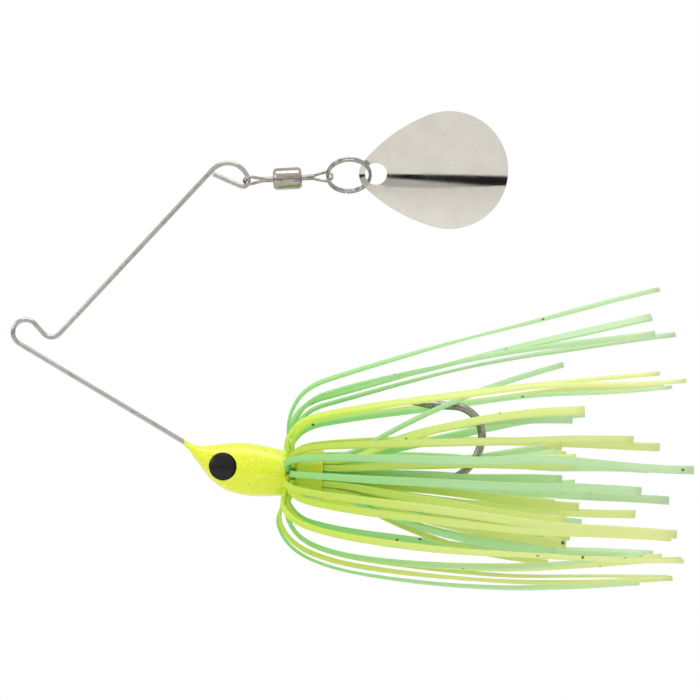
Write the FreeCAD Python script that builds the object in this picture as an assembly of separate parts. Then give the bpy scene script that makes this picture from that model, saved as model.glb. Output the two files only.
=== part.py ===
import FreeCAD, Part
import math
import os

# Spinnerbait, in millimetres.
# The origin is the centre of the line-tie bend, +X runs towards the tail and +Z is up.
# The wire form and the hook lie in the plane y = 0, and -Y is the near side.

# wire form
wire_diameter = 0.76
nose_radius = 2.03           # line-tie bend, on the wire's centre line
lower_arm_angle = 30.9       # below the horizontal
lower_arm_length = 30.8      # from the line-tie bend to the head
throat_entry_angle = 48      # below the horizontal, where the line-tie bend ends
throat_radius = 1.7
throat_length = 3.94         # from the line-tie bend to the throat's corner
upper_arm_angle = 47         # above the horizontal
upper_arm_length = 37.75     # from the throat corner to the end loop
end_loop_radius = 3.36
end_loop_turn = 125
pull_bend_room = 0.52        # inside radius of the tight bend that the swivel pulls against
return_angle = 23.7          # the return leg, above the horizontal
return_gap = 0.05            # between the cut end and the upper arm

# cast-in end of the wire, and the shank line that head, collar, band and hook share
shank_tilt = 3.8             # the shank falls towards the tail
crossing_depth = 8.4         # along the wire from the head's nose to the shank line
anchor_height = 1.5          # corner of the wire above the shank line
anchor_radius = 0.9
anchor_depth = 1.1           # the wire's end, below the shank line

# hook
hook_diameter = 1.3
hook_eye_radius = 1.0
hook_eye_wire = 0.84
hook_straight = 35.1         # from the hook's eye to the start of the bend
hook_bend_radius = 7.8
hook_gap = 12.45
point_leg = 8.3
point_taper = 4.0
point_radius = 0.04
barb_height = 0.55
barb_length = 1.6
barb_width = 0.43

# head, measured along the shank line from the point where the wire's line crosses it
head_rear = 9.0
head_height = 8.6
head_width = 6.6
nose_sleeve = 1.04           # diameter of the paint and lead round the wire at the nose
collar_root = 1.0            # the collar starts this far inside the head
collar_overhang = 0.65       # and ends this far behind the skirt band
eye_radius = 2.2
eye_along = -1.05
eye_up = 0.4
eye_floor = 1.9              # from the middle plane to the flat under each eye
eye_edge = 0.55
eye_dome = 0.65
eye_clearance = 0.05

# skirt
strand_width = 1.0
strand_thickness = 0.5
strand_spacing = 0.05        # between neighbours of the inner layer, at their undersides
layer_gap = 0.1
band_length = 4.3
band_wall = 0.6
band_rim = 0.25
fold_gap = 0.1               # free space between layers where they fold out
fold_to_band = 0.45          # from the outer fold to the band
fold_rise = 1.9              # the fold stands straight out this far
fold_return = 2.0            # then it comes back towards the tail by this much
fold_share = 0.54            # height where it leans forward, as a share of the shoulder's
crest_share = 0.84           # and where it comes back
crest_lean = 0.3             # share of the lean that is left there
outer_slots = 16
inner_slots = 14
shoulder_along = 17.5
shoulder_run = 9             # from the shoulder to the next point of the route
middle_along = 38.0
middle_run = 14
straight_lead = 3.2          # every strand stays straight this far behind the band
lead_run = 7
rear_middle_along = 33.0
rear_tip_run = 10

# swivel, split ring and blade, along the line that they hang on
hang_tilt = 3                # rises towards the tail
eye_wire = 0.5
eye_bow_radius = 1.05
eye_slack = 0.08             # between linked wires
eye_leg_share = 0.4          # each leg's offset at the neck, as a share of the wire
front_eye_turn = 30          # the front eye's plane, turned from the horizontal
front_neck = 3.5             # from the tight bend's centre to the neck
neck_radius = 0.45
barrel_start = 4.85
barrel_length = 4.6
barrel_radius = 1.75
barrel_round = 0.7
barrel_wall = 0.5
button_radius = 1.05
button_length = 0.6
button_play = 0.1
swivel_clearance = 0.08
rear_neck_length = 1.5       # from the barrel to the rear eye's legs
rear_eye_length = 3.6        # from the rear eye's legs to its bow
ring_tilt = 43.5             # the ring leans over, its top nearer
ring_radius = 3.43
ring_wire = 0.48
ring_press = 0.02            # the two turns are pressed into each other by this much
ring_end_gap = 0.15
ring_gap_floor = 0.02        # the cut stays this far from the other turn
ring_gap_place = 270         # round the ring, halfway between its two ends
ring_gap_turn = 10
blade_length = 23.9
blade_width = 18.86
blade_tip_radius = 3.0
blade_flank_radius = 26
blade_thickness = 0.6
blade_cup_radius = 32
blade_hole_radius = 1.75
blade_hole_along = 2.72      # from the tip to the hole's centre
blade_hole_room = 0.36       # from the ring's two turns to the hole's edge, along the hanging line


def direction(angle):
    return FreeCAD.Vector(math.cos(math.radians(angle)), 0, math.sin(math.radians(angle)))


# A wire in the plane y = 0 as a list of steps: (length, 0) is straight,
# and (radius, turn) is a bend, with turns to the left positive.
def trace(start, heading, steps):
    edges = []
    point = start
    for size, turn in steps:
        if turn == 0:
            end = point + direction(heading) * size
            edges.append(Part.LineSegment(point, end).toShape())
        else:
            side = math.copysign(90, turn)
            centre = point + direction(heading + side) * size
            middle = centre - direction(heading + turn / 2 + side) * size
            end = centre - direction(heading + turn + side) * size
            edges.append(Part.Arc(point, middle, end).toShape())
            heading = heading + turn
        point = end
    return edges, point, heading


# Sweep a round section along edges that follow each other smoothly.
def round_bar(edges, diameter):
    path = Part.Wire(Part.__sortEdges__(edges))
    start = path.OrderedVertexes[0].Point
    first = path.OrderedEdges[0]
    along = first.tangentAt(first.FirstParameter)
    if first.firstVertex().Point.distanceToPoint(start) > 1e-6:
        along = first.tangentAt(first.LastParameter) * -1
    section = Part.Wire(Part.Circle(start, along, diameter / 2).toShape())
    return path.makePipeShell([section], True, False)


# The same edges, moved sideways by a distance in the plane y = 0.
def beside(edges, distance):
    moved = []
    for edge in edges:
        first, last = edge.ParameterRange
        points = []
        for place in (first, (first + last) / 2, last):
            sideways = edge.tangentAt(place).cross(FreeCAD.Vector(0, 1, 0))
            points.append(edge.valueAt(place) + sideways * distance)
        straight = isinstance(edge.Curve, Part.Line)
        curve = Part.LineSegment(points[0], points[2]) if straight else Part.Arc(*points)
        moved.append(curve.toShape())
    return moved


# A flat strip along edges in the plane y = 0, with its width along Y.
def flat_strip(edges, width, thickness):
    above = beside(edges, thickness / 2)
    below = beside(edges, -thickness / 2)
    caps = []
    for index, end in ((0, 0), (-1, 1)):
        cap = Part.LineSegment(above[index].Vertexes[end].Point, below[index].Vertexes[end].Point)
        caps.append(cap.toShape())
    outline = Part.Face(Part.Wire(Part.__sortEdges__(above + below + caps)))
    outline.translate(FreeCAD.Vector(0, -width / 2, 0))
    return outline.extrude(FreeCAD.Vector(0, width, 0))


def revolve_about_x(points):
    outline = Part.Face(Part.makePolygon(points + points[:1]))
    return outline.revolve(FreeCAD.Vector(0, 0, 0), FreeCAD.Vector(1, 0, 0), 360)


def tube_about_x(start, length, inner, outer):
    corners = [(start, inner), (start + length, inner), (start + length, outer), (start, outer)]
    return revolve_about_x([FreeCAD.Vector(x, 0, z) for x, z in corners])


# ---- wire form ----

pull_bend_radius = pull_bend_room + wire_diameter / 2
anchor_turn = 90 - lower_arm_angle + shank_tilt
slope_to_shank = math.radians(lower_arm_angle - shank_tilt)
anchor_tangent = anchor_radius * math.tan(math.radians(anchor_turn / 2))
corner_to_crossing = anchor_height / math.sin(slope_to_shank)
nose_start = direction(-lower_arm_angle - 90) * nose_radius
head_nose = nose_start + direction(-lower_arm_angle) * lower_arm_length
shank_origin = head_nose + direction(-lower_arm_angle) * crossing_depth


def wire_frame():
    buried = crossing_depth - corner_to_crossing - anchor_tangent
    lower, _, _ = trace(nose_start, -lower_arm_angle, [
        (lower_arm_length + buried, 0),
        (anchor_radius, -anchor_turn),
        (anchor_height - anchor_tangent + anchor_depth, 0),
    ])
    nose_turn = -(180 - lower_arm_angle + throat_entry_angle)
    nose, nose_end, _ = trace(nose_start, 180 - lower_arm_angle, [(nose_radius, nose_turn)])
    throat_turn = throat_entry_angle + upper_arm_angle
    throat_tangent = throat_radius * math.tan(math.radians(throat_turn / 2))
    upper, loop_end, heading = trace(nose_end, -throat_entry_angle, [
        (throat_length - throat_tangent, 0),
        (throat_radius, throat_turn),
        (upper_arm_length - throat_tangent, 0),
        (end_loop_radius, -end_loop_turn),
    ])
    arm_point = upper[2].Vertexes[1].Point
    bend_turn = -(heading + 180 + return_angle)
    bend, leg_start, leg_heading = trace(loop_end, heading, [(pull_bend_radius, bend_turn)])
    # the return leg stops where its cut end would touch the upper arm
    across_arm = direction(upper_arm_angle + 90)
    approach = direction(leg_heading).dot(across_arm)
    end_reach = wire_diameter / 2 * (1 + math.sqrt(1 - approach ** 2)) + return_gap
    leg_length = ((arm_point - leg_start).dot(across_arm) - end_reach) / approach
    leg, _, _ = trace(leg_start, leg_heading, [(leg_length, 0)])
    pivot = loop_end + direction(heading - 90) * pull_bend_radius
    return round_bar(lower + nose + upper + bend + leg, wire_diameter), pivot


# Move a shape from the shank's own frame to the lure's frame.
def on_shank(shape):
    shape.rotate(FreeCAD.Vector(0, 0, 0), FreeCAD.Vector(0, 1, 0), shank_tilt)
    shape.translate(shank_origin)
    return shape


# ---- hook ----

anchor_along = -corner_to_crossing * math.cos(slope_to_shank)


def hook():
    start = anchor_along + hook_eye_radius
    upper_radius = hook_gap - hook_bend_radius
    edges, leg_end, heading = trace(FreeCAD.Vector(start, 0, 0), 0, [
        (hook_straight - hook_eye_radius, 0),
        (hook_bend_radius, 90),
        (upper_radius, 90),
        (point_leg - point_taper, 0),
    ])
    bar = round_bar(edges, hook_diameter)
    point = Part.makeCone(hook_diameter / 2, point_radius, point_taper, leg_end, direction(heading))
    # the barb rises on the shank side and faces back along the leg
    root = leg_end - FreeCAD.Vector(0, 0, hook_diameter / 4)
    tip = leg_end + FreeCAD.Vector(barb_length / 2, 0, -hook_diameter / 2 - barb_height)
    back = leg_end + FreeCAD.Vector(barb_length / 2, 0, -hook_diameter / 4)
    barb = Part.Face(Part.makePolygon([root, tip, back, root]))
    barb.translate(FreeCAD.Vector(0, -barb_width / 2, 0))
    barb = barb.extrude(FreeCAD.Vector(0, barb_width, 0))
    eye = Part.makeTorus(hook_eye_radius, hook_eye_wire / 2, FreeCAD.Vector(anchor_along, 0, 0))
    # the eye's opening stays free of the shank's end
    opening = Part.makeCylinder(
        hook_eye_radius - hook_eye_wire / 2, hook_diameter * 2,
        FreeCAD.Vector(anchor_along, 0, -hook_diameter))
    return on_shank(bar.fuse([point, barb]).cut(opening).fuse(eye).removeSplitter())


# ---- layers of the skirt round the collar ----

inner_floor = (strand_width + strand_spacing) / 2 / math.tan(math.pi / inner_slots)
collar_radius = inner_floor - layer_gap
inner_radius = inner_floor + strand_thickness / 2
outer_radius = inner_radius + strand_thickness + layer_gap
band_inner = math.hypot(outer_radius + strand_thickness / 2, strand_width / 2) + layer_gap / 2
inner_fold = head_rear + fold_gap + strand_thickness / 2
outer_fold = inner_fold + strand_thickness + fold_gap
band_start = outer_fold + strand_thickness / 2 + fold_to_band
band_end = band_start + band_length


# ---- head ----

# Each row is a section across the shank line: its place from the nose (0) to the rear (1),
# its top and bottom as shares of the head's height, and its width as a share of the width.
head_sections = [
    (0.10, 0.41, 0.19, 0.30),
    (0.20, 0.405, -0.045, 0.52),
    (0.36, 0.46, -0.32, 0.81),
    (0.56, 0.505, -0.45, 0.96),
    (0.78, 0.48, -0.465, 1.0),
    (1.00, 0.42, -0.41, 0.98),
]


def head_section(along, middle, height, width):
    points = []
    for angle in range(0, 360, 30):
        aside = math.cos(math.radians(angle)) * width / 2
        up = math.sin(math.radians(angle)) * height / 2
        points.append(FreeCAD.Vector(along, aside, middle + up))
    oval = Part.BSplineCurve()
    oval.interpolate(Points=points, PeriodicFlag=True)
    return Part.Wire(oval.toShape())


def eye_blank(side, radius, height):
    base = FreeCAD.Vector(eye_along, side * eye_floor, eye_up)
    return Part.makeCylinder(radius, height, base, FreeCAD.Vector(0, side, 0))


def head(wire, hook_shape):
    nose_along = -crossing_depth * math.cos(slope_to_shank)
    nose_up = crossing_depth * math.sin(slope_to_shank)
    length = head_rear - nose_along
    sections = [head_section(nose_along, nose_up, nose_sleeve, nose_sleeve)]
    for place, top, bottom, width in head_sections:
        middle = (top + bottom) / 2 * head_height
        height = (top - bottom) * head_height
        sections.append(head_section(nose_along + place * length, middle, height, width * head_width))
    body = Part.makeLoft(sections, True, False)
    collar_start = head_rear - collar_root
    collar = Part.makeCylinder(
        collar_radius, band_end + collar_overhang - collar_start,
        FreeCAD.Vector(collar_start, 0, 0), FreeCAD.Vector(1, 0, 0))
    body = body.fuse(collar)
    for side in (-1, 1):
        body = body.cut(eye_blank(side, eye_radius + eye_clearance, head_width))
    return on_shank(body).cut(wire).cut(hook_shape)


# A domed eye: a short cylinder with a cap that is part of a sphere.
def eye(side):
    cap_radius = (eye_radius ** 2 + eye_dome ** 2) / (2 * eye_dome)
    centre = FreeCAD.Vector(eye_along, side * (eye_floor + eye_edge + eye_dome - cap_radius), eye_up)
    cap = Part.makeSphere(cap_radius, centre)
    return on_shank(eye_blank(side, eye_radius, eye_edge + eye_dome).common(cap))


# ---- skirt ----

def skirt_band():
    outer = band_inner + band_wall
    band = tube_about_x(band_start, band_length, band_inner, outer)
    rims = [edge for edge in band.Edges if abs(edge.BoundBox.ZMax - outer) < 1e-3
            and edge.BoundBox.XLength < 1e-3]
    return on_shank(band.makeFillet(band_rim, rims))


# Each row is one strand of a layer, in order round the shank from just past the top:
# how far its fold leans forward, its distance from the shank at the shoulder, at the
# middle and at the tip, the tip's place along the shank, and for the rear half its
# distance from the shank at the middle and at the tip, and the tip's place.
outer_strands = [
    (0.3, 15.4, 22.0, 28.4, 66.1, 13.3, 22.0, 52.0),
    (0.2, 14.6, 21.6, 29.1, 66.8, 12.7, 18.5, 55.7),
    (0.4, 13.5, 17.5, 21.0, 63.5, 8.5, 13.0, 55.0),
    (0.1, 12.0, 15.0, 16.0, 65.4, 7.0, 10.5, 57.0),
    (0.3, 12.5, 15.5, 15.0, 70.7, 7.5, 11.0, 54.0),
    (0.5, 13.0, 15.0, 13.5, 72.6, 8.5, 11.5, 54.3),
    (0.6, 13.2, 14.2, 10.2, 66.7, 8.3, 9.8, 53.0),
    (0.6, 12.5, 13.2, 9.5, 70.0, 7.5, 8.8, 51.0),
    (0.5, 13.6, 15.4, 13.8, 71.5, 9.8, 12.8, 52.0),
    (0.4, 12.6, 14.4, 13.6, 69.0, 8.0, 10.8, 55.0),
    (0.2, 12.2, 15.0, 15.5, 68.2, 7.8, 12.0, 53.4),
    (0.3, 12.8, 16.0, 17.5, 71.3, 7.2, 11.0, 58.5),
    (0.2, 13.8, 19.0, 23.0, 69.4, 9.0, 15.0, 54.0),
    (0.3, 12.7, 18.4, 25.0, 70.5, 10.0, 18.0, 56.5),
    (0.2, 13.3, 20.6, 28.2, 70.2, 9.5, 12.6, 54.4),
]
inner_strands = [
    (0.6, 18.3, 26.6, 36.8, 66.1, 3.3, 6.8, 52.0),
    (0.5, 17.0, 24.0, 31.0, 70.9, 5.0, 9.5, 55.0),
    (0.7, 14.5, 18.0, 20.0, 73.3, 5.0, 8.0, 53.0),
    (0.5, 13.5, 17.5, 19.0, 71.3, 4.6, 7.5, 56.0),
    (0.9, 14.6, 17.0, 16.4, 72.9, 5.0, 8.0, 52.0),
    (1.2, 15.0, 16.6, 14.0, 71.6, 4.8, 8.0, 55.0),
    (1.6, 14.8, 16.3, 13.8, 66.7, 4.2, 7.0, 51.0),
    (1.3, 15.4, 17.0, 15.5, 64.5, 5.2, 9.0, 54.0),
    (0.9, 14.0, 16.2, 15.0, 68.0, 5.4, 8.6, 57.0),
    (0.6, 13.8, 17.0, 18.0, 66.0, 4.8, 7.8, 52.5),
    (0.8, 14.6, 18.6, 21.5, 67.7, 5.0, 8.4, 55.5),
    (1.0, 14.8, 20.8, 27.5, 69.3, 5.2, 10.0, 53.0),
    (0.5, 14.9, 22.4, 31.5, 66.3, 3.4, 7.2, 50.0),
]


# The height at a place on the smooth curve through three known points.
def height_on_curve(along, known):
    total = 0
    for place, height in known:
        share = 1
        for other, _ in known:
            if other != place:
                share = share * (along - other) / (place - other)
        total = total + share * height
    return total


# A strand's route in its own plane, from the rear tip to the front tip: straight
# through the band, out through the fold, and back over the band to its long end.
def strand_points(row, radius, fold):
    lean, shoulder, middle, tip, reach, rear_middle, rear_tip, rear_reach = row
    rear_start = band_end + straight_lead
    rear = [(rear_start, radius), (rear_middle_along, rear_middle), (rear_reach, rear_tip)]
    front = [(shoulder_along, shoulder), (middle_along, middle), (reach, tip)]
    rear_places = [rear_reach, rear_reach - rear_tip_run, rear_middle_along, rear_start + lead_run]
    front_places = [shoulder_along + shoulder_run, middle_along, middle_along + middle_run, reach]
    points = [(place, height_on_curve(place, rear)) for place in rear_places]
    points.append((rear_start, radius))
    points.append((fold, radius))
    points.append((fold, radius + fold_rise))
    points.append((fold - lean, shoulder * fold_share))
    points.append((fold - lean * crest_lean + fold_return, shoulder * crest_share))
    points.append((shoulder_along, shoulder))
    points = points + [(place, height_on_curve(place, front)) for place in front_places]
    return [FreeCAD.Vector(along, 0, height) for along, height in points]


# Straight runs joined by tangent arcs, each as large as its two runs allow.
def rounded_route(points):
    edges = []
    last = points[0]
    for before, corner, after in zip(points, points[1:], points[2:]):
        arriving = corner - before
        leaving = after - corner
        shorter = min(arriving.Length, leaving.Length)
        cut = 0.45 * shorter
        half_turn = arriving.getAngle(leaving) / 2
        radius = cut / math.tan(half_turn)
        arc_start = corner - arriving.normalize() * cut
        arc_end = corner + leaving.normalize() * cut
        inward = (leaving - arriving).normalize()
        arc_middle = corner + inward * (radius / math.cos(half_turn) - radius)
        edges.append(Part.LineSegment(last, arc_start).toShape())
        edges.append(Part.Arc(arc_start, arc_middle, arc_end).toShape())
        last = arc_end
    edges.append(Part.LineSegment(last, points[-1]).toShape())
    return edges


def strand(row, radius, fold, angle):
    edges = rounded_route(strand_points(row, radius, fold))
    solid = flat_strip(edges, strand_width, strand_thickness)
    solid.rotate(FreeCAD.Vector(0, 0, 0), FreeCAD.Vector(1, 0, 0), angle)
    length = sum(edge.Length for edge in edges)
    expected = length * strand_width * strand_thickness
    print("strand at %6.1f: length %.1f, volume share %.4f" % (angle, length, solid.Volume / expected))
    return on_shank(solid)


# ---- swivel, split ring and blade ----

# Move a shape from the hanging line's own frame, with its origin at the tight
# bend's centre, to the lure's frame.
def on_hang_line(shape, pivot):
    shape.rotate(FreeCAD.Vector(0, 0, 0), FreeCAD.Vector(0, 1, 0), -hang_tilt)
    shape.translate(pivot)
    return shape


# A swivel's eye: a bow, two legs that meet in the neck, and a button inside the barrel.
# It is drawn with its bow at the origin and its neck towards +X.
def swivel_eye(neck_place, button_place):
    bow = FreeCAD.Vector(eye_bow_radius, 0, 0)
    leg_spread = eye_wire * eye_leg_share
    to_neck = FreeCAD.Vector(neck_place, 0, leg_spread)
    span = to_neck - bow
    lean = math.degrees(math.atan2(span.z, span.x) + math.acos(eye_bow_radius / span.Length))
    touch = bow + direction(lean) * eye_bow_radius
    mirrored = FreeCAD.Vector(touch.x, 0, -touch.z)
    path = [
        Part.LineSegment(to_neck, touch).toShape(),
        Part.Arc(touch, FreeCAD.Vector(0, 0, 0), mirrored).toShape(),
        Part.LineSegment(mirrored, FreeCAD.Vector(neck_place, 0, -leg_spread)).toShape(),
    ]
    loop = round_bar(path, eye_wire)
    along = FreeCAD.Vector(1, 0, 0)
    neck_start = neck_place - eye_wire
    neck = Part.makeCylinder(
        neck_radius, button_place - neck_start + button_length / 2, FreeCAD.Vector(neck_start, 0, 0), along)
    button = Part.makeCylinder(button_radius, button_length, FreeCAD.Vector(button_place, 0, 0), along)
    return loop.fuse([neck, button]).removeSplitter()


bow_place = pull_bend_room - eye_slack - eye_wire / 2
barrel_end = barrel_start + barrel_length
front_button = barrel_start + barrel_wall + button_play
rear_button = barrel_end - barrel_wall - button_play - button_length
rear_bow_place = barrel_end + rear_neck_length + rear_eye_length - eye_wire / 2


def swivel_front_eye(pivot):
    shape = swivel_eye(front_neck - bow_place, front_button - bow_place)
    shape.translate(FreeCAD.Vector(bow_place, 0, 0))
    shape.rotate(FreeCAD.Vector(0, 0, 0), FreeCAD.Vector(1, 0, 0), 90 - front_eye_turn)
    return on_hang_line(shape, pivot)


def swivel_rear_eye(pivot):
    neck_place = rear_bow_place - barrel_end - rear_neck_length
    shape = swivel_eye(neck_place, rear_bow_place - rear_button - button_length)
    shape.rotate(FreeCAD.Vector(0, 0, 0), FreeCAD.Vector(0, 0, 1), 180)
    shape.translate(FreeCAD.Vector(rear_bow_place, 0, 0))
    shape.rotate(FreeCAD.Vector(0, 0, 0), FreeCAD.Vector(1, 0, 0), -(90 - ring_tilt))
    return on_hang_line(shape, pivot)


def swivel_barrel(pivot):
    along = FreeCAD.Vector(1, 0, 0)
    outer = Part.makeCylinder(barrel_radius, barrel_length, FreeCAD.Vector(barrel_start, 0, 0), along)
    rims = [edge for edge in outer.Edges if edge.BoundBox.XLength < 1e-3]
    outer = outer.makeFillet(barrel_round, rims)
    cavity = Part.makeCylinder(
        button_radius + swivel_clearance, barrel_length - 2 * barrel_wall,
        FreeCAD.Vector(barrel_start + barrel_wall, 0, 0), along)
    bore = Part.makeCylinder(
        neck_radius + swivel_clearance, 3 * barrel_length,
        FreeCAD.Vector(barrel_start - barrel_length, 0, 0), along)
    return on_hang_line(outer.cut(cavity).cut(bore), pivot)


# the ring's wire hangs against the inside of the rear eye's bow
bow_centre = rear_bow_place - eye_bow_radius
bow_room = eye_bow_radius - eye_wire / 2 - eye_slack
ring_pitch = ring_wire - ring_press
stack_half = (ring_pitch + ring_wire) / 2
ring_near_wire = bow_centre + math.sqrt(bow_room ** 2 - stack_half ** 2) - ring_wire / 2
ring_centre = ring_near_wire + ring_radius
ring_far_wire = ring_centre + ring_radius
blade_lag = blade_hole_radius - stack_half - blade_hole_room


# Two turns that touch all round, each with a narrow gap at the wire's end.
def split_ring(pivot):
    turns = []
    for side in (-1, 1):
        middle = FreeCAD.Vector(0, 0, side * ring_pitch / 2)
        turn = Part.makeTorus(ring_radius, ring_wire / 2, middle)
        gap_low = side * (ring_gap_floor + ring_wire / 2) - ring_wire / 2
        gap = Part.makeBox(
            2 * ring_wire, ring_end_gap, ring_wire,
            FreeCAD.Vector(ring_radius - ring_wire, -ring_end_gap / 2, gap_low))
        place = ring_gap_place - side * ring_gap_turn
        gap.rotate(FreeCAD.Vector(0, 0, 0), FreeCAD.Vector(0, 0, 1), place)
        turns.append(turn.cut(gap))
    ring = turns[0].fuse(turns[1])
    ring.rotate(FreeCAD.Vector(0, 0, 0), FreeCAD.Vector(1, 0, 0), 90 + ring_tilt)
    ring.translate(FreeCAD.Vector(ring_centre, 0, 0))
    return on_hang_line(ring, pivot)


# The blade's outline from its tip at the origin: a tip arc, two long flanks and a round end.
def blade_outline():
    end_radius = blade_width / 2
    tip_centre = FreeCAD.Vector(blade_tip_radius, 0, 0)
    end_centre = FreeCAD.Vector(blade_length - end_radius, 0, 0)
    to_tip = blade_flank_radius - blade_tip_radius
    to_end = blade_flank_radius - end_radius
    apart = end_centre.x - tip_centre.x
    flank_x = (to_tip ** 2 - to_end ** 2 + apart ** 2) / (2 * apart)
    flank_centre = tip_centre + FreeCAD.Vector(flank_x, 0, -math.sqrt(to_tip ** 2 - flank_x ** 2))
    tip_touch = tip_centre + (tip_centre - flank_centre).normalize() * blade_tip_radius
    end_touch = end_centre + (end_centre - flank_centre).normalize() * end_radius
    halfway = ((tip_touch + end_touch) * 0.5 - flank_centre).normalize()
    flank_middle = flank_centre + halfway * blade_flank_radius

    def mirrored(point):
        return FreeCAD.Vector(point.x, 0, -point.z)
    edges = [
        Part.Arc(mirrored(tip_touch), FreeCAD.Vector(0, 0, 0), tip_touch),
        Part.Arc(tip_touch, flank_middle, end_touch),
        Part.Arc(end_touch, FreeCAD.Vector(blade_length, 0, 0), mirrored(end_touch)),
        Part.Arc(mirrored(end_touch), mirrored(flank_middle), mirrored(tip_touch)),
    ]
    return Part.Wire([edge.toShape() for edge in edges])


def blade(pivot):
    plan = Part.Face(blade_outline())
    plan.translate(FreeCAD.Vector(0, -blade_width, 0))
    plan = plan.extrude(FreeCAD.Vector(0, 2 * blade_width, 0))
    # the cup bulges towards the near side, and its middle surface meets the ring's wire
    wire_along = blade_hole_along - blade_lag
    centre_back = math.sqrt(blade_cup_radius ** 2 - (blade_length / 2 - wire_along) ** 2)
    centre = FreeCAD.Vector(blade_length / 2, centre_back, 0)
    cup = Part.makeSphere(blade_cup_radius + blade_thickness / 2, centre)
    cup = cup.cut(Part.makeSphere(blade_cup_radius - blade_thickness / 2, centre))
    near_half = Part.makeBox(
        blade_length * 2, centre_back + blade_width / 2, blade_width * 2,
        FreeCAD.Vector(-blade_length / 2, -blade_width / 2, -blade_width))
    hole = Part.makeCylinder(
        blade_hole_radius, 2 * blade_width,
        FreeCAD.Vector(blade_hole_along, -blade_width, 0), FreeCAD.Vector(0, 1, 0))
    shape = cup.common(plan).common(near_half).cut(hole)
    shape.translate(FreeCAD.Vector(ring_far_wire - wire_along, 0, 0))
    return on_hang_line(shape, pivot)


# ---- all pieces ----

os.makedirs("parts", exist_ok=True)
wire, pivot = wire_frame()
hook_shape = hook()
pieces = {
    "wire_frame": wire,
    "hook": hook_shape,
    "head": head(wire, hook_shape),
    "eye_left": eye(-1),
    "eye_right": eye(1),
    "skirt_band": skirt_band(),
    "swivel_front_eye": swivel_front_eye(pivot),
    "swivel_barrel": swivel_barrel(pivot),
    "swivel_rear_eye": swivel_rear_eye(pivot),
    "split_ring": split_ring(pivot),
    "blade": blade(pivot),
}
for layer, rows, radius, fold, slots in (
        ("outer", outer_strands, outer_radius, outer_fold, outer_slots),
        ("inner", inner_strands, inner_radius, inner_fold, inner_slots)):
    for number, row in enumerate(rows, start=1):
        name = "skirt_strand_%s_%02d" % (layer, number)
        pieces[name] = strand(row, radius, fold, 360 / slots * number)

for name, shape in pieces.items():
    print(name, "valid" if shape.isValid() else "NOT VALID", len(shape.Solids), round(shape.Volume, 2))
    shape.exportStep("parts/%s.step" % name)

print("pivot of the swivel", pivot)
print("shank origin", shank_origin)
print("ring: near wire, centre, far wire", ring_near_wire, ring_centre, ring_far_wire)
print("rear eye's bow", rear_bow_place)
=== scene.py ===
import math
import random

import bpy
from mathutils import Matrix, Vector


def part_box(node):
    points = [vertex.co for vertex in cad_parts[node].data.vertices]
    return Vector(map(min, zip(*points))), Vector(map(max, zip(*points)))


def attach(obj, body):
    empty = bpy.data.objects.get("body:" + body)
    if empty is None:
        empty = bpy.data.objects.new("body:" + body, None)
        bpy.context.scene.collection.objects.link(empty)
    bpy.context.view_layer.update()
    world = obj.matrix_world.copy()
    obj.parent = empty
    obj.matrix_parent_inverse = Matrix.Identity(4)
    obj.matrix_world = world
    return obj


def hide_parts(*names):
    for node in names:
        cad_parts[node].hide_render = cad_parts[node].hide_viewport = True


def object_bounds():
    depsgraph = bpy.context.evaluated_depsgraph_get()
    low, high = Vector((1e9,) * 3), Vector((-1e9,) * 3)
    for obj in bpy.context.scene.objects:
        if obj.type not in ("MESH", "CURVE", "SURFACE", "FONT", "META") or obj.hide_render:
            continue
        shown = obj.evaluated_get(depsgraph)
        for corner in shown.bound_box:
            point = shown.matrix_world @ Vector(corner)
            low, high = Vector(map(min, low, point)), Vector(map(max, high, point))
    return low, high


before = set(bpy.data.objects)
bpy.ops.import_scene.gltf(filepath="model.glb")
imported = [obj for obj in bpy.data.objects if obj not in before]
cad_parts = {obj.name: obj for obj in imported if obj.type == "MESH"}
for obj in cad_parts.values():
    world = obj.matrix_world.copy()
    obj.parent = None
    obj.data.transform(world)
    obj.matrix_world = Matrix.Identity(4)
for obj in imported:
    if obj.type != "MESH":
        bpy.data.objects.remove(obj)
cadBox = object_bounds()
mm = 0.001
rng = random.Random(41)
print("frame loaded:", len(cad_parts), "nodes")


def newMaterial(name):
    material = bpy.data.materials.new(name)
    material.use_nodes = True
    return material, material.node_tree, material.node_tree.nodes["Principled BSDF"]


# a named value goes to the node's own setting, or else to its input of that name
def addNode(tree, kind, **values):
    node = tree.nodes.new("ShaderNode" + kind)
    for key, value in values.items():
        if hasattr(node, key):
            setattr(node, key, value)
        else:
            node.inputs[key.replace("_", " ")].default_value = value
    return node


def objectCoords(tree, stretch=(1, 1, 1)):
    coords = addNode(tree, "TexCoord")
    mapping = addNode(tree, "Mapping")
    mapping.inputs["Scale"].default_value = stretch
    tree.links.new(coords.outputs["Object"], mapping.inputs["Vector"])
    return mapping.outputs["Vector"]


def noiseAt(tree, vector, scale, detail=3.0, rough=0.5):
    noise = addNode(tree, "TexNoise", Scale=scale, Detail=detail, Roughness=rough)
    tree.links.new(vector, noise.inputs["Vector"])
    return noise.outputs["Fac"]


def rampOf(tree, factor, stops):
    ramp = addNode(tree, "ValToRGB")
    elements = ramp.color_ramp.elements
    while len(elements) < len(stops):
        elements.new(0.5)
    for element, (place, color) in zip(elements, stops):
        element.position = place
        element.color = (*color, 1)
    tree.links.new(factor, ramp.inputs["Fac"])
    return ramp.outputs["Color"]


def mixColors(tree, factor, first, second):
    mix = addNode(tree, "Mix", data_type="RGBA")
    # the three sockets that a colour mix uses: factor, first colour and second colour
    for socket, value in ((mix.inputs[0], factor), (mix.inputs[6], first), (mix.inputs[7], second)):
        if isinstance(value, (int, float)):
            socket.default_value = value
        elif isinstance(value, tuple):
            socket.default_value = (*value, 1)
        else:
            tree.links.new(value, socket)
    return mix.outputs[2]


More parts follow.
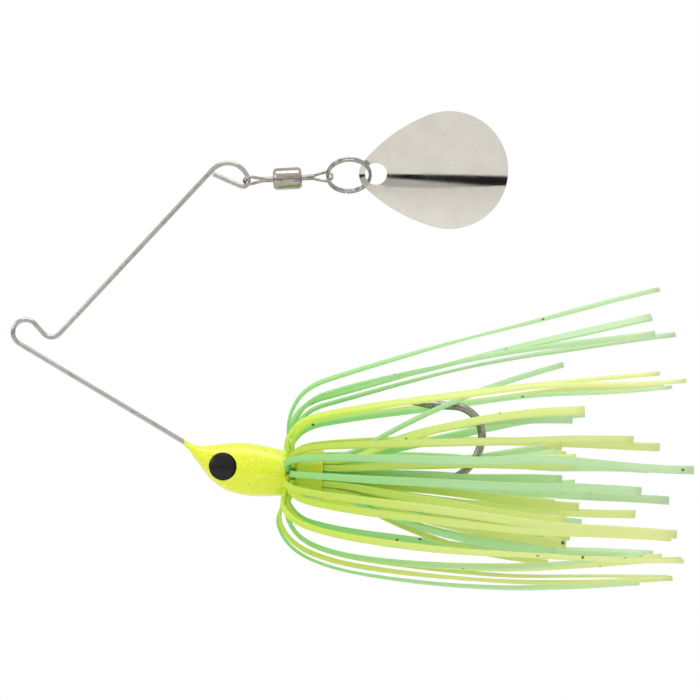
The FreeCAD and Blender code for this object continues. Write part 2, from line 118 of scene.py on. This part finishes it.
def mapTo(tree, value, low, high, fromLow=0.0, fromHigh=1.0):
    node = addNode(tree, "MapRange")
    for key, number in (("From Min", fromLow), ("From Max", fromHigh), ("To Min", low), ("To Max", high)):
        node.inputs[key].default_value = number
    tree.links.new(value, node.inputs["Value"])
    return node.outputs["Result"]


def bumpFrom(tree, shader, height, strength, distance):
    bump = addNode(tree, "Bump", Strength=strength, Distance=distance)
    tree.links.new(height, bump.inputs["Height"])
    tree.links.new(bump.outputs["Normal"], shader.inputs["Normal"])


def dress(nodeName, material):
    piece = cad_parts[nodeName]
    piece.data.materials.clear()
    piece.data.materials.append(material)


def meshPiece(name, verts, faces, material, body):
    mesh = bpy.data.meshes.new(name)
    mesh.from_pydata([tuple(v) for v in verts], [], faces)
    mesh.update()
    for polygon in mesh.polygons:
        polygon.use_smooth = True
    mesh.materials.append(material)
    piece = bpy.data.objects.new(name, mesh)
    bpy.context.scene.collection.objects.link(piece)
    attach(piece, body)
    return piece


metalGrain = {"patchesPerMetre": 900, "specksPerMetre": 3200, "speckShare": 0.35, "depth": 0.00004}
metalLook = {
    # colour, duller colour of the patches, lowest and highest roughness, stretch, bump
    "springWire": ((0.52, 0.51, 0.49), (0.40, 0.39, 0.38), 0.12, 0.22, (1, 1, 1), 0.01),
    "darkNickel": ((0.40, 0.39, 0.38), (0.18, 0.17, 0.165), 0.14, 0.30, (1, 1, 1), 0.05),
    "nickelBarrel": ((0.46, 0.43, 0.39), (0.26, 0.24, 0.21), 0.10, 0.24, (1, 3, 3), 0.04),
    "nickelWire": ((0.46, 0.44, 0.41), (0.30, 0.28, 0.26), 0.10, 0.20, (1, 1, 1), 0.01),
    "ringPlate": ((0.44, 0.43, 0.41), (0.24, 0.23, 0.22), 0.09, 0.18, (1, 1, 1), 0.01),
}


def platedMetal(name):
    base, worn, smoothest, roughest, stretch, bumpAmount = metalLook[name]
    material, tree, shader = newMaterial(name)
    shader.inputs["Metallic"].default_value = 1.0
    vector = objectCoords(tree, stretch)
    broad = noiseAt(tree, vector, metalGrain["patchesPerMetre"], 4, 0.6)
    fine = noiseAt(tree, vector, metalGrain["specksPerMetre"], 2, 0.5)
    patches = rampOf(tree, broad, [(0.35, worn), (0.52, base), (1.0, base)])
    color = mixColors(tree, mapTo(tree, fine, 0.0, metalGrain["speckShare"], 0.35, 0.75), patches, worn)
    tree.links.new(color, shader.inputs["Base Color"])
    tree.links.new(mapTo(tree, broad, roughest, smoothest, 0.3, 0.7), shader.inputs["Roughness"])
    bumpFrom(tree, shader, fine, bumpAmount, metalGrain["depth"])
    return material


bladeLook = {
    "base": (0.80, 0.78, 0.73), "dull": (0.66, 0.64, 0.60), "roughLow": 0.035, "roughHigh": 0.08,
    "cloudsPerMetre": 260, "cloudShare": 0.6, "grainsPerMetre": 2600, "grainShare": 0.5,
    "grainBump": 0.03, "grainDepth": 0.00002,
}


def polishedBlade():
    material, tree, shader = newMaterial("polishedBlade")
    shader.inputs["Metallic"].default_value = 1.0
    vector = objectCoords(tree)
    cloud = noiseAt(tree, vector, bladeLook["cloudsPerMetre"], 5, 0.6)
    grain = noiseAt(tree, vector, bladeLook["grainsPerMetre"], 3, 0.55)
    clouded = mapTo(tree, cloud, 0.0, bladeLook["cloudShare"], 0.4, 0.8)
    grained = mapTo(tree, grain, 0.0, bladeLook["grainShare"], 0.45, 0.75)
    color = mixColors(tree, clouded, bladeLook["base"], bladeLook["dull"])
    color = mixColors(tree, grained, color, bladeLook["dull"])
    tree.links.new(color, shader.inputs["Base Color"])
    rough = mapTo(tree, cloud, bladeLook["roughLow"], bladeLook["roughHigh"], 0.35, 0.75)
    tree.links.new(rough, shader.inputs["Roughness"])
    bumpFrom(tree, shader, grain, bladeLook["grainBump"], bladeLook["grainDepth"])
    return material


paintLook = {
    "top": (0.86, 0.95, 0.0), "low": (0.76, 0.87, 0.0), "flakeBright": (0.98, 1.0, 0.30),
    "flakeDark": (0.50, 0.62, 0.0), "flakesPerMetre": 5200, "coat": 0.9, "coatRough": 0.06,
    "cloudsPerMetre": 500, "roughLow": 0.24, "roughHigh": 0.38, "depthOfGlow": 0.0006,
    "dimplesPerMetre": 1400, "dimpleBump": 0.10, "dimpleDepth": 0.00006,
}


def chartreusePaint():
    material, tree, shader = newMaterial("chartreusePaint")
    vector = objectCoords(tree)
    cloud = noiseAt(tree, vector, paintLook["cloudsPerMetre"], 4, 0.6)
    flakes = addNode(tree, "TexVoronoi", Scale=paintLook["flakesPerMetre"])
    tree.links.new(vector, flakes.inputs["Vector"])
    pick = addNode(tree, "SeparateColor")
    tree.links.new(flakes.outputs["Color"], pick.inputs["Color"])
    bright = mapTo(tree, pick.outputs["Red"], 0.0, 1.0, 0.93, 0.97)
    dark = mapTo(tree, pick.outputs["Green"], 0.0, 0.8, 0.95, 0.98)
    color = mixColors(tree, cloud, paintLook["top"], paintLook["low"])
    color = mixColors(tree, dark, color, paintLook["flakeDark"])
    color = mixColors(tree, bright, color, paintLook["flakeBright"])
    tree.links.new(color, shader.inputs["Base Color"])
    rough = mapTo(tree, cloud, paintLook["roughLow"], paintLook["roughHigh"])
    tree.links.new(rough, shader.inputs["Roughness"])
    shader.inputs["Coat Weight"].default_value = paintLook["coat"]
    shader.inputs["Coat Roughness"].default_value = paintLook["coatRough"]
    shader.inputs["Subsurface Weight"].default_value = 0.15
    shader.inputs["Subsurface Scale"].default_value = paintLook["depthOfGlow"]
    dimples = noiseAt(tree, vector, paintLook["dimplesPerMetre"], 3, 0.5)
    bumpFrom(tree, shader, dimples, paintLook["dimpleBump"], paintLook["dimpleDepth"])
    return material


eyeLook = {
    "black": (0.004, 0.004, 0.005), "worn": (0.02, 0.022, 0.02), "cloudsPerMetre": 1500,
    "roughLow": 0.16, "roughHigh": 0.30, "coat": 0.12, "coatRough": 0.12, "bump": 0.04, "depth": 0.00003,
}


def blackEye():
    material, tree, shader = newMaterial("blackEye")
    vector = objectCoords(tree)
    cloud = noiseAt(tree, vector, eyeLook["cloudsPerMetre"], 4, 0.6)
    color = mixColors(tree, mapTo(tree, cloud, 0.0, 0.5, 0.4, 0.8), eyeLook["black"], eyeLook["worn"])
    tree.links.new(color, shader.inputs["Base Color"])
    rough = mapTo(tree, cloud, eyeLook["roughLow"], eyeLook["roughHigh"])
    tree.links.new(rough, shader.inputs["Roughness"])
    shader.inputs["Specular IOR Level"].default_value = 0.25
    shader.inputs["Coat Weight"].default_value = eyeLook["coat"]
    shader.inputs["Coat Roughness"].default_value = eyeLook["coatRough"]
    bumpFrom(tree, shader, cloud, eyeLook["bump"], eyeLook["depth"])
    return material


bandLook = {
    "top": (0.46, 0.66, 0.02), "low": (0.62, 0.68, 0.01), "streak": (0.36, 0.52, 0.01),
    "streaksPerMetre": 1500, "streakStretch": (0.25, 1, 1), "cloudsPerMetre": 420,
    "roughLow": 0.22, "roughHigh": 0.42, "depthOfGlow": 0.0012, "coat": 0.4, "coatRough": 0.15,
    "streakBump": 0.25, "streakDepth": 0.00012,
}


def translucentBand():
    material, tree, shader = newMaterial("translucentBand")
    stretched = objectCoords(tree, bandLook["streakStretch"])
    streaks = noiseAt(tree, stretched, bandLook["streaksPerMetre"], 4, 0.6)
    cloud = noiseAt(tree, objectCoords(tree), bandLook["cloudsPerMetre"], 3, 0.5)
    color = mixColors(tree, mapTo(tree, cloud, 0.0, 1.0, 0.35, 0.65), bandLook["top"], bandLook["low"])
    color = mixColors(tree, mapTo(tree, streaks, 0.0, 0.55, 0.45, 0.75), color, bandLook["streak"])
    tree.links.new(color, shader.inputs["Base Color"])
    rough = mapTo(tree, streaks, bandLook["roughLow"], bandLook["roughHigh"])
    tree.links.new(rough, shader.inputs["Roughness"])
    shader.inputs["Subsurface Weight"].default_value = 0.5
    shader.inputs["Subsurface Scale"].default_value = bandLook["depthOfGlow"]
    shader.inputs["Coat Weight"].default_value = bandLook["coat"]
    shader.inputs["Coat Roughness"].default_value = bandLook["coatRough"]
    bumpFrom(tree, shader, streaks, bandLook["streakBump"], bandLook["streakDepth"])
    return material


siliconeLook = {
    # colour by the band, colour along the strand, colour at the pale end, speck colour
    "mint": ((0.50, 0.88, 0.40), (0.70, 0.94, 0.64), (0.78, 0.96, 0.72), (0.06, 0.14, 0.05)),
    "yellow": ((0.76, 0.92, 0.16), (0.88, 0.97, 0.46), (0.92, 0.98, 0.60), (0.14, 0.18, 0.03)),
}


siliconeFeel = {
    "shadeStep": 0.05, "fadeStart": 0.040, "fadeEnd": 0.105, "cloudsPerMetre": 700, "cloudStep": 90,
    "specksPerMetre": 420, "speckStep": 30, "speckSize": (0.10, 0.16), "speckChance": (0.90, 0.91),
    "roughLow": 0.30, "roughHigh": 0.48, "depthOfGlow": 0.0008, "through": 0.42,
    "bump": 0.12, "bumpDepth": 0.00006,
}


# each kind comes in three shades, numbered 0 to 2
def silicone(kind, shade):
    rootColor, middleColor, endColor, speckColor = siliconeLook[kind]
    material, tree, shader = newMaterial("silicone_%s_%d" % (kind, shade))
    vector = objectCoords(tree)
    split = addNode(tree, "SeparateXYZ")
    tree.links.new(vector, split.inputs["Vector"])
    lift = 1 + siliconeFeel["shadeStep"] * (shade - 1)
    shaded = [tuple(min(1, part * lift) for part in color) for color in (rootColor, middleColor, endColor)]
    # the colour pales from the band towards the tail
    along = mapTo(tree, split.outputs["X"], 0.0, 1.0, siliconeFeel["fadeStart"], siliconeFeel["fadeEnd"])
    color = rampOf(tree, along, [(0.05, shaded[0]), (0.45, shaded[1]), (1.0, shaded[2])])
    cloudScale = siliconeFeel["cloudsPerMetre"] + siliconeFeel["cloudStep"] * shade
    cloud = noiseAt(tree, objectCoords(tree, (0.3, 1, 1)), cloudScale, 4, 0.6)
    color = mixColors(tree, mapTo(tree, cloud, 0.0, 0.25, 0.45, 0.8), color, shaded[0])
    speckScale = siliconeFeel["specksPerMetre"] + siliconeFeel["speckStep"] * shade
    specks = addNode(tree, "TexVoronoi", Scale=speckScale)
    tree.links.new(vector, specks.inputs["Vector"])
    pick = addNode(tree, "SeparateColor")
    tree.links.new(specks.outputs["Color"], pick.inputs["Color"])
    near = mapTo(tree, specks.outputs["Distance"], 1.0, 0.0, *siliconeFeel["speckSize"])
    chosen = mapTo(tree, pick.outputs["Blue"], 0.0, 1.0, *siliconeFeel["speckChance"])
    both = addNode(tree, "Math", operation="MULTIPLY")
    tree.links.new(near, both.inputs[0])
    tree.links.new(chosen, both.inputs[1])
    color = mixColors(tree, both.outputs[0], color, speckColor)
    tree.links.new(color, shader.inputs["Base Color"])
    rough = mapTo(tree, cloud, siliconeFeel["roughLow"], siliconeFeel["roughHigh"])
    tree.links.new(rough, shader.inputs["Roughness"])
    shader.inputs["Subsurface Weight"].default_value = 0.35
    shader.inputs["Subsurface Scale"].default_value = siliconeFeel["depthOfGlow"]
    shader.inputs["Specular IOR Level"].default_value = 0.4
    bumpFrom(tree, shader, cloud, siliconeFeel["bump"], siliconeFeel["bumpDepth"])
    through = addNode(tree, "BsdfTranslucent")   # light from behind shows in the thin strip
    tree.links.new(color, through.inputs["Color"])
    blend = addNode(tree, "MixShader")
    blend.inputs["Fac"].default_value = siliconeFeel["through"]
    tree.links.new(shader.outputs["BSDF"], blend.inputs[1])
    tree.links.new(through.outputs["BSDF"], blend.inputs[2])
    tree.links.new(blend.outputs["Shader"], tree.nodes["Material Output"].inputs["Surface"])
    return material


dress("wire_frame", platedMetal("springWire"))
dress("hook", platedMetal("darkNickel"))
dress("head", chartreusePaint())
eyeFinish = blackEye()
for side in ("left", "right"):
    dress("eye_" + side, eyeFinish)
nickelWire = platedMetal("nickelWire")
dress("swivel_front_eye", nickelWire)
dress("swivel_rear_eye", nickelWire)
dress("swivel_barrel", platedMetal("nickelBarrel"))
dress("split_ring", platedMetal("ringPlate"))
dress("blade", polishedBlade())
print("finishes on the metal and the head")


# places along the shank line and distances from it, in millimetres
skirt = {
    "tilt": 3.8, "bandMiddle": 12.8, "bandEnd": 14.95, "lead": 3.2,
    "outer": {"slots": 16, "radius": 3.15, "fold": 9.95},
    "inner": {"slots": 14, "radius": 2.55, "fold": 9.35},
    "shoulder": 17.5, "middle": 38.0, "rearMiddle": 33.0,
    "shoulderRun": 9, "middleRun": 14, "leadRun": 7, "rearTipRun": 10,
    "foldRise": 1.9, "foldReturn": 2.0, "foldShare": 0.54, "crestShare": 0.84, "crestLean": 0.3,
    "width": 1.0, "relaxed": 1.32, "thickness": 0.5, "edge": 0.07,
}
# lean of the fold, distances at shoulder, middle and tip, reach, then the rear half's
# distances at middle and tip and its reach, and the colour
skirtRows = {
    "outer": [
        (0.3, 15.4, 22.0, 28.4, 66.1, 13.3, 22.0, 52.0, "mint"),
        (0.2, 14.6, 21.6, 29.1, 66.8, 12.7, 18.5, 55.7, "yellow"),
        (0.4, 13.5, 17.5, 21.0, 63.5, 8.5, 13.0, 55.0, "yellow"),
        (0.1, 12.0, 15.0, 16.0, 65.4, 7.0, 10.5, 57.0, "mint"),
        (0.3, 12.5, 15.5, 15.0, 70.7, 7.5, 11.0, 54.0, "yellow"),
        (0.5, 13.0, 15.0, 13.5, 72.6, 8.5, 11.5, 54.3, "yellow"),
        (0.6, 13.2, 14.2, 10.2, 66.7, 8.3, 9.8, 53.0, "mint"),
        (0.6, 12.5, 13.2, 9.5, 70.0, 7.5, 8.8, 51.0, "yellow"),
        (0.5, 13.6, 15.4, 13.8, 71.5, 9.8, 12.8, 52.0, "yellow"),
        (0.4, 12.6, 14.4, 13.6, 69.0, 8.0, 10.8, 55.0, "mint"),
        (0.2, 12.2, 15.0, 15.5, 68.2, 7.8, 12.0, 53.4, "yellow"),
        (0.3, 12.8, 16.0, 17.5, 71.3, 7.2, 11.0, 58.5, "mint"),
        (0.2, 13.8, 19.0, 23.0, 69.4, 9.0, 15.0, 54.0, "yellow"),
        (0.3, 12.7, 18.4, 25.0, 70.5, 10.0, 18.0, 56.5, "mint"),
        (0.2, 13.3, 20.6, 28.2, 70.2, 9.5, 12.6, 54.4, "mint"),
    ],
    "inner": [
        (0.6, 18.3, 26.6, 36.8, 66.1, 3.3, 6.8, 52.0, "mint"),
        (0.5, 17.0, 24.0, 31.0, 70.9, 5.0, 9.5, 55.0, "yellow"),
        (0.7, 14.5, 18.0, 20.0, 73.3, 5.0, 8.0, 53.0, "mint"),
        (0.5, 13.5, 17.5, 19.0, 71.3, 4.6, 7.5, 56.0, "yellow"),
        (0.9, 14.6, 17.0, 16.4, 72.9, 5.0, 8.0, 52.0, "yellow"),
        (1.2, 15.0, 16.6, 14.0, 71.6, 4.8, 8.0, 55.0, "yellow"),
        (1.6, 14.8, 16.3, 13.8, 66.7, 4.2, 7.0, 51.0, "mint"),
        (1.3, 15.4, 17.0, 15.5, 64.5, 5.2, 9.0, 54.0, "yellow"),
        (0.9, 14.0, 16.2, 15.0, 68.0, 5.4, 8.6, 57.0, "mint"),
        (0.6, 13.8, 17.0, 18.0, 66.0, 4.8, 7.8, 52.5, "yellow"),
        (0.8, 14.6, 18.6, 21.5, 67.7, 5.0, 8.4, 55.5, "mint"),
        (1.0, 14.8, 20.8, 27.5, 69.3, 5.2, 10.0, 53.0, "yellow"),
        (0.5, 14.9, 22.4, 31.5, 66.3, 3.4, 7.2, 50.0, "mint"),
    ],
}

bandLow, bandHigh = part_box("skirt_band")
tilt = math.radians(skirt["tilt"])
shankAlong = Vector((math.cos(tilt), 0, -math.sin(tilt)))
bandCentre = (Vector(bandLow) + Vector(bandHigh)) / 2
shankOrigin = bandCentre - shankAlong * skirt["bandMiddle"] * mm
shankUp = Vector((math.sin(tilt), 0, math.cos(tilt)))


# direction away from the shank, and the one round it, at an angle from the top
def spoke(angle):
    up, near = math.cos(angle), math.sin(angle)
    return shankUp * up + Vector((0, -near, 0)), shankUp * -near + Vector((0, -up, 0))


def heightOnCurve(along, known):
    total = 0
    for place, height in known:
        share = 1
        for other, _ in known:
            if other != place:
                share = share * (along - other) / (place - other)
        total = total + share * height
    return total


def strandRoute(row, layer):
    lean, shoulder, middle, tip, reach, rearMiddle, rearTip, rearReach, _ = row
    radius, fold = layer["radius"], layer["fold"]
    start = skirt["bandEnd"] + skirt["lead"]
    rear = [(start, radius), (skirt["rearMiddle"], rearMiddle), (rearReach, rearTip)]
    front = [(skirt["shoulder"], shoulder), (skirt["middle"], middle), (reach, tip)]
    rearPlaces = [rearReach, rearReach - skirt["rearTipRun"], skirt["rearMiddle"], start + skirt["leadRun"]]
    pastShoulder = skirt["shoulder"] + skirt["shoulderRun"]
    frontPlaces = [pastShoulder, skirt["middle"], skirt["middle"] + skirt["middleRun"], reach]
    crest = fold - lean * skirt["crestLean"] + skirt["foldReturn"]
    route = [(place, heightOnCurve(place, rear)) for place in rearPlaces]
    route = route + [(start, radius), (fold, radius), (fold, radius + skirt["foldRise"])]
    route = route + [(fold - lean, shoulder * skirt["foldShare"]), (crest, shoulder * skirt["crestShare"])]
    route.append((skirt["shoulder"], shoulder))
    return route + [(place, heightOnCurve(place, front)) for place in frontPlaces]


# points read from a NURBS line through the route's points
def smoothLine(route):
    curve = bpy.data.curves.new("route", "CURVE")
    curve.dimensions = "3D"
    curve.resolution_u = 10
    spline = curve.splines.new("NURBS")
    spline.points.add(len(route) - 1)
    for point, (along, away) in zip(spline.points, route):
        point.co = (along * mm, 0, away * mm, 1)
    spline.order_u = 3
    spline.use_endpoint_u = True
    holder = bpy.data.objects.new("route", curve)
    mesh = bpy.data.meshes.new_from_object(holder)
    line = [vertex.co.copy() for vertex in mesh.vertices]
    bpy.data.objects.remove(holder)
    bpy.data.curves.remove(curve)
    bpy.data.meshes.remove(mesh)
    return line


# a flat strip's section with rounded edges, going round the same way as the strand's length
def stripSection():
    wide, thick, edge = skirt["width"] / 2 * mm, skirt["thickness"] / 2 * mm, skirt["edge"] * mm
    ring = []
    for cornerX, cornerY, start in ((1, 1, 0), (-1, 1, 90), (-1, -1, 180), (1, -1, 270)):
        for turn in (0, 45, 90):
            angle = math.radians(start + turn)
            ring.append((cornerX * (wide - edge) + math.cos(angle) * edge,
                         cornerY * (thick - edge) + math.sin(angle) * edge))
    return ring


# how loosely the strands lie: shares of the turn towards the near side, stray turns in
# degrees, sway and wave in millimetres, and the lengths in which they grow, in metres
looseness = {
    "frontTurn": (0.35, 0.95), "frontStray": 18, "rearTurn": (0.2, 0.9), "rearStray": 25,
    "frontSway": 1.3, "rearSway": 0.8, "wave": (0.1, 0.35), "wavesPerMetre": 190,
    "frontGrowth": 0.038, "rearGrowth": 0.028, "rearDelay": 0.004, "foldHeight": 0.006,
}


# share of the looseness at a distance behind the band, from 0 to 1
def growth(distance, length):
    return max(0.0, min(1.0, distance / length))


def strandMesh(name, route, angle, material):
    line = smoothLine(route)
    away, around = spoke(angle)
    places = [shankOrigin + shankAlong * point.x + away * point.z for point in line]
    bandEnd = skirt["bandEnd"] * mm
    # the foremost point of the inner run: after it the long half begins
    inner = [index for index in range(len(line)) if line[index].z < looseness["foldHeight"]]
    foldIndex = min(inner, key=lambda index: line[index].x)
    # each half turns part of the way to show its flat face
    face = (math.degrees(angle) + 0.001) % 180 - 90
    frontStray, rearStray = looseness["frontStray"], looseness["rearStray"]
    frontTwist = face * rng.uniform(*looseness["frontTurn"]) + rng.uniform(-frontStray, frontStray)
    rearTwist = face * rng.uniform(*looseness["rearTurn"]) + rng.uniform(-rearStray, rearStray)
    frontSway = rng.uniform(-looseness["frontSway"], looseness["frontSway"]) * mm
    rearSway = rng.uniform(-looseness["rearSway"], looseness["rearSway"]) * mm
    waveSize, wavePhase = rng.uniform(*looseness["wave"]) * mm, rng.uniform(0, 6)
    last = len(line) - 1
    section = stripSection()
    verts = []
    for index, place in enumerate(places):
        before, after = places[max(index - 1, 0)], places[min(index + 1, last)]
        tangent = (after - before).normalized()
        if index > foldIndex:
            free = growth(line[index].x - bandEnd, looseness["frontGrowth"])
            twist, sway = frontTwist, frontSway
        else:
            free = growth(line[index].x - bandEnd - looseness["rearDelay"], looseness["rearGrowth"])
            twist, sway = rearTwist, rearSway
        wave = waveSize * free * math.sin(wavePhase + line[index].x * looseness["wavesPerMetre"])
        place = place + around * (sway * free * free + wave)
        flat = Matrix.Rotation(math.radians(twist) * free, 3, tangent)
        side = flat @ around
        normal = tangent.cross(side).normalized()
        # silicone that the band squeezes grows wider once it is free
        widen = 1 + (skirt["relaxed"] / skirt["width"] - 1) * min(1, free * 3)
        verts += [place + side * x * widen + normal * y for x, y in section]
    count = len(section)
    faces = []
    for index in range(last):
        for corner in range(count):
            a = index * count + corner
            b = index * count + (corner + 1) % count
            faces.append((a, b, b + count, a + count))
    faces.append(tuple(range(count))[::-1])
    faces.append(tuple(range(last * count, (last + 1) * count)))
    piece = meshPiece(name, verts, faces, material, "frame")
    for polygon in list(piece.data.polygons)[-2:]:
        polygon.use_smooth = False
    return piece


siliconeFinish = {kind: [silicone(kind, shade) for shade in range(3)] for kind in siliconeLook}
for layerName in ("outer", "inner"):
    layer = skirt[layerName]
    for number, row in enumerate(skirtRows[layerName], start=1):
        angle = 2 * math.pi / layer["slots"] * number
        kind = row[-1]
        nodeName = "skirt_strand_%s_%02d" % (layerName, number)
        material = siliconeFinish[kind][number % 3]
        pieceName = "silicone_%s_%02d" % (layerName, number)
        piece = strandMesh(pieceName, strandRoute(row, layer), angle, material)
        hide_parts(nodeName)
print("skirt strands laid out")


# the band's own form, in millimetres
bandForm = {
    "wall": 0.6, "rim": 0.28, "waist": 0.10, "ripple": 0.05, "ripples": 9, "rippleLean": 0.9,
    "smoothInside": 0.1, "steps": 120,
}


def bandMesh():
    outer = (bandHigh[1] - bandLow[1]) / 2 / mm
    inner = outer - bandForm["wall"]
    length = 2 * (skirt["bandEnd"] - skirt["bandMiddle"])
    half, rim, waist = length / 2, bandForm["rim"], bandForm["waist"]
    profile = [(-half, inner)]
    for turn in range(0, 91, 15):   # front rim
        angle = math.radians(turn)
        profile.append((-half + rim - math.cos(angle) * rim, outer - rim + math.sin(angle) * rim))
    for share in (0.15, 0.3, 0.45, 0.6, 0.75, 0.85):   # slightly drawn in between the rims
        along = -half + length * share
        profile.append((along, outer - waist * math.sin(math.pi * share)))
    for turn in range(90, -1, -15):   # rear rim
        angle = math.radians(turn)
        profile.append((half - rim + math.cos(angle) * rim, outer - rim + math.sin(angle) * rim))
    profile.append((half, inner))
    verts = []
    for step in range(bandForm["steps"]):
        angle = 2 * math.pi * step / bandForm["steps"]
        away, _ = spoke(angle)
        for along, radius in profile:
            wave = math.sin(bandForm["ripples"] * angle + along * bandForm["rippleLean"])
            if radius > inner + bandForm["smoothInside"]:
                radius = radius - max(0, bandForm["ripple"] * wave)
            verts.append(bandCentre + shankAlong * along * mm + away * radius * mm)
    count = len(profile)
    faces = []
    for step in range(bandForm["steps"]):
        following = (step + 1) % bandForm["steps"]
        for corner in range(count):
            a, b = step * count + corner, step * count + (corner + 1) % count
            c, d = following * count + (corner + 1) % count, following * count + corner
            faces.append((a, b, c, d))
    return meshPiece("translucentBand", verts, faces, translucentBand(), "frame")


band = bandMesh()
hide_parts("skirt_band")
print("band moulded")


# places in millimetres, and a light as its name, place, aim, size and power
studio = {
    "view": (51.9, -2.8), "frameWidth": 112.0, "distance": 1200.0, "floorDrop": 70.0,
    "sky": (0.86, 0.845, 0.81), "ground": (0.50, 0.49, 0.47), "slot": (0.015, 0.015, 0.015),
    "slotEdges": (0.432, 0.450, 0.486, 0.494), "slotWidening": (0.3, 1.15),
    "floorHalf": 900.0, "floorColor": (0.86, 0.86, 0.85, 1), "floorRough": 0.8,
    "lights": [
        ("topSoftbox", (40, -120, 440), (50, 0, -10), (420, 260), 0.7),
        ("leftSoftbox", (-460, -240, 260), (45, 0, -10), (200, 260), 0.5),
    ],
}


def softWorld():
    world = bpy.data.worlds.new("softStudio")
    bpy.context.scene.world = world
    world.use_nodes = True
    tree = world.node_tree
    background = tree.nodes["Background"]
    coords = addNode(tree, "TexCoord")
    split = addNode(tree, "SeparateXYZ")
    tree.links.new(coords.outputs["Generated"], split.inputs["Vector"])
    # the dark slot above the table's edge is narrow on the left and wider on the right
    widening = mapTo(tree, split.outputs["X"], *studio["slotWidening"], -0.6, 0.6)
    squeezed = addNode(tree, "Math", operation="DIVIDE")
    tree.links.new(split.outputs["Z"], squeezed.inputs[0])
    tree.links.new(widening, squeezed.inputs[1])
    height = mapTo(tree, squeezed.outputs[0], 0.0, 1.0, -1.0, 1.0)
    ground, slot, sky = studio["ground"], studio["slot"], studio["sky"]
    groundEnd, slotStart, slotEnd, skyStart = studio["slotEdges"]
    color = rampOf(tree, height, [
        (0.0, ground), (groundEnd, ground), (slotStart, slot), (slotEnd, slot), (skyStart, sky), (1.0, sky)])
    rays = addNode(tree, "LightPath")   # the backdrop itself stays plain white
    seen = mixColors(tree, rays.outputs["Is Camera Ray"], color, (1.0, 1.0, 1.0))
    tree.links.new(seen, background.inputs["Color"])
    background.inputs["Strength"].default_value = 1.0


def areaLight(name, place, target, size, power):
    data = bpy.data.lights.new(name, "AREA")
    data.shape = "RECTANGLE"
    data.size, data.size_y = size[0] * mm, size[1] * mm
    data.energy = power
    light = bpy.data.objects.new(name, data)
    light.location = Vector(place) * mm
    aim = Vector(target) * mm - light.location
    light.rotation_euler = aim.to_track_quat("-Z", "Y").to_euler()
    bpy.context.scene.collection.objects.link(light)


def paleFloor():
    mesh = bpy.data.meshes.new("floor")
    half = studio["floorHalf"] * mm
    level = cadBox[0][2] - studio["floorDrop"] * mm
    corners = [(-half, -half, level), (half, -half, level), (half, half, level), (-half, half, level)]
    mesh.from_pydata(corners, [], [(0, 1, 2, 3)])
    material, _, shader = newMaterial("paleFloor")
    shader.inputs["Base Color"].default_value = studio["floorColor"]
    shader.inputs["Roughness"].default_value = studio["floorRough"]
    mesh.materials.append(material)
    floor = bpy.data.objects.new("floor", mesh)
    bpy.context.scene.collection.objects.link(floor)


def frontCamera():
    data = bpy.data.cameras.new("camera")
    data.lens = data.sensor_width * studio["distance"] / studio["frameWidth"]
    data.clip_end = 20
    camera = bpy.data.objects.new("camera", data)
    camera.location = (studio["view"][0] * mm, -studio["distance"] * mm, studio["view"][1] * mm)
    camera.rotation_euler = (math.radians(90), 0, 0)
    bpy.context.scene.collection.objects.link(camera)
    bpy.context.scene.camera = camera


softWorld()
paleFloor()
frontCamera()
for light in studio["lights"]:
    areaLight(*light)
bpy.context.scene.view_settings.view_transform = "Standard"
print("studio ready")
